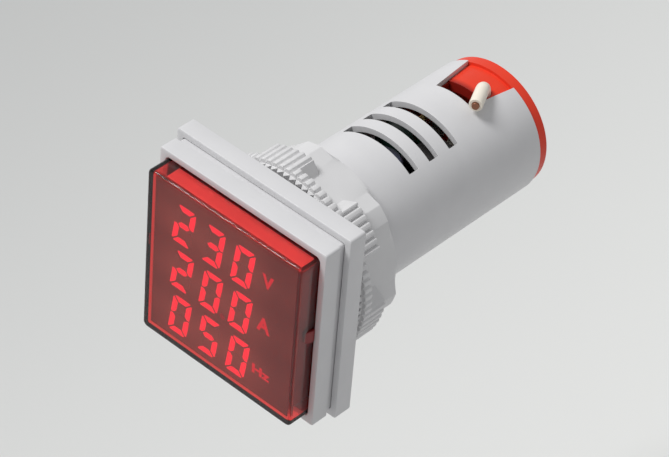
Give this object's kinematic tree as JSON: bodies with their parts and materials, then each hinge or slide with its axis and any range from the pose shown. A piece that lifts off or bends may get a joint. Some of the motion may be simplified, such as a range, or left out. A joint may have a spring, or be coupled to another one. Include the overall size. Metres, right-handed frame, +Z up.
{
  "type": "digital ammeter voltmeter",
  "caption": "Square panel meter with a red lens over rows of lit digits, a round threaded body with a ribbed plastic nut, a vented tail and rear screw terminals.",
  "frame": {"origin": "on the body's axis at the flange's rear face, where the panel meets it", "axes": "+Y runs to the rear through the panel, +X to the right as the display is read, +Z up"},
  "size_m": [0.03, 0.0527, 0.03],
  "materials": {
    "tinted_lens": "clear red tinted plastic, polished",
    "light_grey_plastic": "moulded light grey plastic, satin",
    "nut_plastic": "moulded light grey plastic, fine matt",
    "gasket_rubber": "black rubber, matt",
    "display_face": "dark grey printed face on a white body",
    "lit_segment": "frosted, lit red",
    "unlit_segment": "frosted, unlit",
    "pin_metal": "tinned",
    "board": "green solder mask",
    "chip_epoxy": "black moulding, fine matt",
    "capacitor_sleeve": "dark shrink sleeve",
    "capacitor_box": "dark grey moulded box",
    "varistor_coat": "dark green dipped coat",
    "resistor_coat": "sand-coloured coat",
    "terminal_cap_plastic": "translucent red plastic, satin",
    "terminal_brass": "bright",
    "screw_steel": "zinc plated",
    "lead_insulation": "cream insulation, satin",
    "copper_core": "bare copper"
  },
  "bodies": {
    "housing": {"lens_cap": "tinted_lens", "bezel_frame": "light_grey_plastic", "body_housing": "light_grey_plastic", "panel_gasket": "gasket_rubber", "display_block": "display_face", "volt_digits": "lit_segment", "amp_digits": "lit_segment", "hertz_digits": "lit_segment", "decimal_point": "lit_segment", "unlit_segments": "unlit_segment", "display_pins": "pin_metal", "display_board": "board", "display_driver_chip": "chip_epoxy", "board_header": "chip_epoxy", "main_board": "board", "microcontroller_chip": "chip_epoxy", "bridge_rectifier": "chip_epoxy", "filter_capacitor": "capacitor_sleeve", "dropper_capacitor": "capacitor_box", "varistor": "varistor_coat", "power_resistors": "resistor_coat", "terminal_cap": "terminal_cap_plastic", "terminal_plate_left": "terminal_brass", "terminal_plate_right": "terminal_brass", "current_lead_sleeve": "lead_insulation", "current_lead_core": "copper_core"},
    "nut": {"mounting_nut": "nut_plastic"},
    "left_clamp": {"clamp_plate_left": "screw_steel"},
    "left_screw": {"terminal_screw_left": "screw_steel"},
    "right_clamp": {"clamp_plate_right": "screw_steel"},
    "right_screw": {"terminal_screw_right": "screw_steel"}
  },
  "joints": [
    {"name": "nut_travel", "type": "slide", "parent": "housing", "child": "nut", "axis": [0, 1, 0], "range_m": [-0.0009, 0.0205]},
    {"name": "left_clamp_lift", "type": "slide", "parent": "housing", "child": "left_clamp", "axis": [0, 1, 0], "range_m": [0, 0.002]},
    {"name": "left_screw_turn", "type": "hinge", "parent": "left_clamp", "child": "left_screw", "pos_m": [-0.00429, 0.0425, 0], "axis": [0, 1, 0], "range_deg": [0, 1441]},
    {"name": "right_clamp_lift", "type": "slide", "parent": "housing", "child": "right_clamp", "axis": [0, 1, 0], "range_m": [0, 0.002]},
    {"name": "right_screw_turn", "type": "hinge", "parent": "right_clamp", "child": "right_screw", "pos_m": [0.00429, 0.0425, 0], "axis": [0, 1, 0], "range_deg": [0, 1441]}
  ],
  "couplings": [
    {"joint": "left_screw_turn", "follows": "left_clamp_lift", "rad_per_m": 12566},
    {"joint": "right_screw_turn", "follows": "right_clamp_lift", "rad_per_m": 12566}
  ]
}
